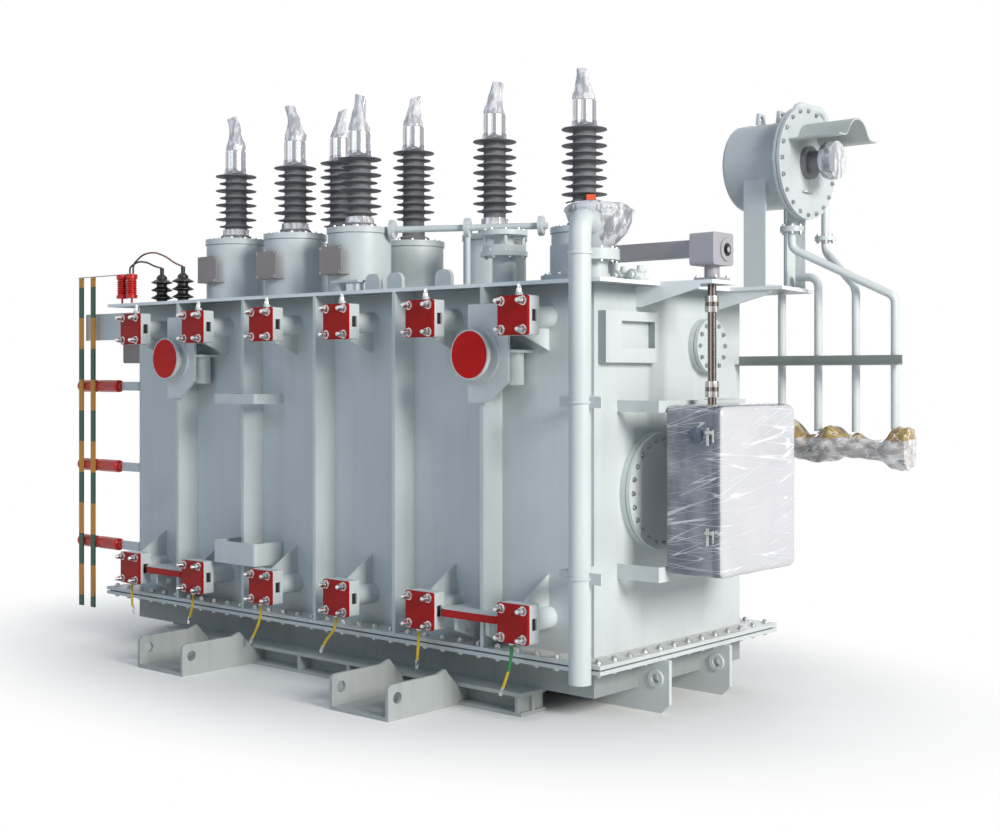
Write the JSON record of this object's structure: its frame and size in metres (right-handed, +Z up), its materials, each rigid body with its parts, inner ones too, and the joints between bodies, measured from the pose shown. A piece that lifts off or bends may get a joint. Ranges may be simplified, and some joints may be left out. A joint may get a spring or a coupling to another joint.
{
  "type": "power transformer",
  "caption": "Oil-filled power transformer with a ribbed bell-type tank, bushings on turrets, a tap-changer drive and a small conservator.",
  "frame": {"origin": "on the ground under the middle of the tank", "axes": "+X along the tank towards the tap-changer drive, +Y from the front to the back, +Z up"},
  "size_m": [5.589, 2.73, 3.576],
  "materials": {
    "aluminium": "turned aluminium",
    "black_resin": "moulded black resin",
    "brown_grey_paint": "brown-grey paint",
    "drive_paint": "satin mid grey paint",
    "film": "clear stretch film",
    "gasket_rubber": "black rubber",
    "lead_insulation": "black sleeve and brown insulation",
    "lead_sheath": "green and yellow cable sheath",
    "red_paint": "glossy red paint",
    "red_resin": "moulded red resin",
    "shed_rubber": "matt dark grey silicone rubber",
    "striped_bar": "green and yellow bands of paint",
    "tank_paint": "semi-gloss light grey paint",
    "wrapped_paint": "light grey paint under clear film",
    "zinc_steel": "zinc-plated steel"
  },
  "bodies": {
    "root": {"bar_insulators": "red_resin", "bar_link": "zinc_steel", "bar_straps": "zinc_steel", "base_beams": "tank_paint", "bell_tank": "tank_paint", "bevel_gearbox": "drive_paint", "blanking_plates": "red_paint", "bushing_caps": "aluminium", "bushing_leads": "lead_insulation", "cabinet_holders": "tank_paint", "centre_cross_beam": "tank_paint", "conservator_drum": "tank_paint", "conservator_flanges": "tank_paint", "conservator_legs": "tank_paint", "cover_fittings": "tank_paint", "cover_shelves": "tank_paint", "discharge_pipe": "tank_paint", "discharge_pipe_clamps": "tank_paint", "drive_shaft": "drive_paint", "drive_shaft_cover": "drive_paint", "drop_pipes": "tank_paint", "earth_lead_1": "lead_sheath", "earth_lead_2": "lead_sheath", "earth_lead_3": "lead_sheath", "earth_lead_4": "lead_sheath", "earth_lead_5": "lead_sheath", "earth_lead_6": "lead_sheath", "earthing_bars": "striped_bar", "earthing_bushings": "black_resin", "flange_gasket": "gasket_rubber", "gas_pipe": "tank_paint", "gauge_hood": "tank_paint", "haulage_channels": "tank_paint", "insulators": "shed_rubber", "jacking_pads": "tank_paint", "junction_box": "brown_grey_paint", "lower_tank": "tank_paint", "motor_cabinet": "wrapped_paint", "oil_gauge": "tank_paint", "oil_valve": "tank_paint", "phase_plates": "brown_grey_paint", "pipe_support": "tank_paint", "pipe_valves": "film", "pocket_tubes": "tank_paint", "post_insulators": "red_resin", "radiator_stubs": "tank_paint", "radiator_valves": "tank_paint", "rating_frame": "tank_paint", "relief_neck": "tank_paint", "relief_valve": "film", "stiffeners": "tank_paint", "tank_cover": "tank_paint", "tank_flanges": "tank_paint", "tap_changer_head": "tank_paint", "terminal_wraps": "film", "tow_lugs": "tank_paint", "trunnion_plates": "tank_paint", "trunnions": "tank_paint", "turrets": "tank_paint", "wall_covers": "tank_paint"}
  },
  "joints": []
}
